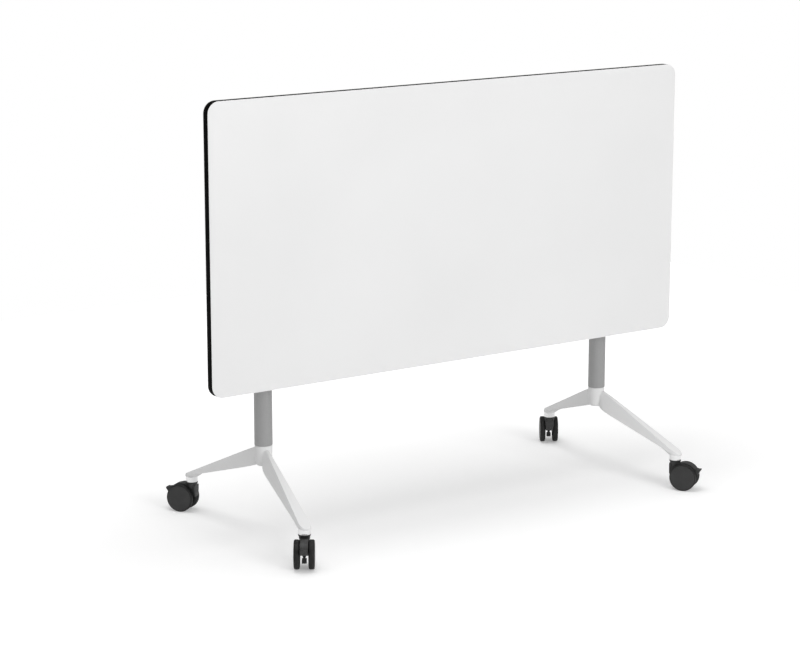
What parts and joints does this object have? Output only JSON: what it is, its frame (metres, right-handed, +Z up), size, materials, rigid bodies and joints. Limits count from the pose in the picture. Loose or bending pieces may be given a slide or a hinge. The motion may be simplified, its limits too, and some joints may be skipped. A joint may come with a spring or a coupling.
{
  "type": "flip top training table",
  "caption": "Flip top training table on castors: a laminated top turns upright on a beam between round columns that stand on cast splayed bases.",
  "frame": {"origin": "on the floor, midway between the two columns", "axes": "+X along the length of the top, +Z up, work face of the stowed top towards -Y"},
  "size_m": [1.2, 0.5634, 0.925],
  "materials": {
    "laminate": "white laminate on board, fine matt texture",
    "black_edge": "black plastic edge band, satin",
    "powder_coat": "silver grey powder coat",
    "cast_aluminium": "polished casting",
    "steel": "zinc plated",
    "black_nylon": "moulded nylon, satin",
    "rubber": "matt rubber"
  },
  "bodies": {
    "frame": {"base_casting_left": "cast_aluminium", "column_left": "powder_coat", "tie_bolt_left": "steel", "pivot_head_left": "cast_aluminium", "beam_cap_left": "black_nylon", "stow_pad_left": "rubber", "use_pad_left": "rubber", "base_casting_right": "cast_aluminium", "column_right": "powder_coat", "tie_bolt_right": "steel", "pivot_head_right": "cast_aluminium", "beam_cap_right": "black_nylon", "stow_pad_right": "rubber", "use_pad_right": "rubber", "pivot_beam": "powder_coat", "castor_front_left_stem": "steel", "castor_front_right_stem": "steel", "castor_rear_left_stem": "steel", "castor_rear_right_stem": "steel"},
    "top": {"top_panel": "laminate", "edge_band": "black_edge", "tilt_bracket_left": "steel", "pivot_bush_left_1": "black_nylon", "pivot_bush_left_2": "black_nylon", "tilt_bracket_right": "steel", "pivot_bush_right_1": "black_nylon", "pivot_bush_right_2": "black_nylon"},
    "lock": {"lock_bar": "steel", "lock_paddle": "black_nylon", "lock_hook_left": "steel", "lock_hook_right": "steel"},
    "castor_front_left": {"castor_front_left_body": "black_nylon", "castor_front_left_axle": "steel"},
    "wheel_front_left_1": {"castor_front_left_wheel_1": "black_nylon"},
    "wheel_front_left_2": {"castor_front_left_wheel_2": "black_nylon"},
    "pedal_front_left": {"castor_front_left_pedal": "black_nylon"},
    "castor_front_right": {"castor_front_right_body": "black_nylon", "castor_front_right_axle": "steel"},
    "wheel_front_right_1": {"castor_front_right_wheel_1": "black_nylon"},
    "wheel_front_right_2": {"castor_front_right_wheel_2": "black_nylon"},
    "pedal_front_right": {"castor_front_right_pedal": "black_nylon"},
    "castor_rear_left": {"castor_rear_left_body": "black_nylon", "castor_rear_left_axle": "steel"},
    "wheel_rear_left_1": {"castor_rear_left_wheel_1": "black_nylon"},
    "wheel_rear_left_2": {"castor_rear_left_wheel_2": "black_nylon"},
    "pedal_rear_left": {"castor_rear_left_pedal": "black_nylon"},
    "castor_rear_right": {"castor_rear_right_body": "black_nylon", "castor_rear_right_axle": "steel"},
    "wheel_rear_right_1": {"castor_rear_right_wheel_1": "black_nylon"},
    "wheel_rear_right_2": {"castor_rear_right_wheel_2": "black_nylon"},
    "pedal_rear_right": {"castor_rear_right_pedal": "black_nylon"}
  },
  "joints": [
    {"name": "flip", "type": "hinge", "parent": "frame", "child": "top", "pos_m": [0, 0, 0.655], "axis": [-1, 0, 0], "range_deg": [0, 90]},
    {"name": "lock_turn", "type": "hinge", "parent": "top", "child": "lock", "pos_m": [0, -0.034, 0.603], "axis": [-1, 0, 0], "range_deg": [0, 10]},
    {"name": "swivel_front_left", "type": "hinge", "parent": "frame", "child": "castor_front_left", "pos_m": [-0.487, -0.228, 0], "axis": [0, 0, 1], "continuous": true},
    {"name": "spin_front_left_1", "type": "hinge", "parent": "castor_front_left", "child": "wheel_front_left_1", "pos_m": [-0.4993, -0.24624, 0.03], "axis": [0.829, -0.5592, 0], "continuous": true},
    {"name": "spin_front_left_2", "type": "hinge", "parent": "castor_front_left", "child": "wheel_front_left_2", "pos_m": [-0.4993, -0.24624, 0.03], "axis": [0.829, -0.5592, 0], "continuous": true},
    {"name": "brake_front_left", "type": "hinge", "parent": "castor_front_left", "child": "pedal_front_left", "pos_m": [-0.50713, -0.25785, 0.044], "axis": [0.829, -0.5592, 0], "range_deg": [0, 10]},
    {"name": "swivel_front_right", "type": "hinge", "parent": "frame", "child": "castor_front_right", "pos_m": [0.487, -0.228, 0], "axis": [0, 0, 1], "continuous": true},
    {"name": "spin_front_right_1", "type": "hinge", "parent": "castor_front_right", "child": "wheel_front_right_1", "pos_m": [0.4993, -0.24624, 0.03], "axis": [0.829, 0.5592, 0], "continuous": true},
    {"name": "spin_front_right_2", "type": "hinge", "parent": "castor_front_right", "child": "wheel_front_right_2", "pos_m": [0.4993, -0.24624, 0.03], "axis": [0.829, 0.5592, 0], "continuous": true},
    {"name": "brake_front_right", "type": "hinge", "parent": "castor_front_right", "child": "pedal_front_right", "pos_m": [0.50713, -0.25785, 0.044], "axis": [0.829, 0.5592, 0], "range_deg": [0, 10]},
    {"name": "swivel_rear_left", "type": "hinge", "parent": "frame", "child": "castor_rear_left", "pos_m": [-0.487, 0.228, 0], "axis": [0, 0, 1], "continuous": true},
    {"name": "spin_rear_left_1", "type": "hinge", "parent": "castor_rear_left", "child": "wheel_rear_left_1", "pos_m": [-0.4993, 0.24624, 0.03], "axis": [-0.829, -0.5592, 0], "continuous": true},
    {"name": "spin_rear_left_2", "type": "hinge", "parent": "castor_rear_left", "child": "wheel_rear_left_2", "pos_m": [-0.4993, 0.24624, 0.03], "axis": [-0.829, -0.5592, 0], "continuous": true},
    {"name": "brake_rear_left", "type": "hinge", "parent": "castor_rear_left", "child": "pedal_rear_left", "pos_m": [-0.50713, 0.25785, 0.044], "axis": [-0.829, -0.5592, 0], "range_deg": [0, 10]},
    {"name": "swivel_rear_right", "type": "hinge", "parent": "frame", "child": "castor_rear_right", "pos_m": [0.487, 0.228, 0], "axis": [0, 0, 1], "continuous": true},
    {"name": "spin_rear_right_1", "type": "hinge", "parent": "castor_rear_right", "child": "wheel_rear_right_1", "pos_m": [0.4993, 0.24624, 0.03], "axis": [-0.829, 0.5592, 0], "continuous": true},
    {"name": "spin_rear_right_2", "type": "hinge", "parent": "castor_rear_right", "child": "wheel_rear_right_2", "pos_m": [0.4993, 0.24624, 0.03], "axis": [-0.829, 0.5592, 0], "continuous": true},
    {"name": "brake_rear_right", "type": "hinge", "parent": "castor_rear_right", "child": "pedal_rear_right", "pos_m": [0.50713, 0.25785, 0.044], "axis": [-0.829, 0.5592, 0], "range_deg": [0, 10]}
  ]
}
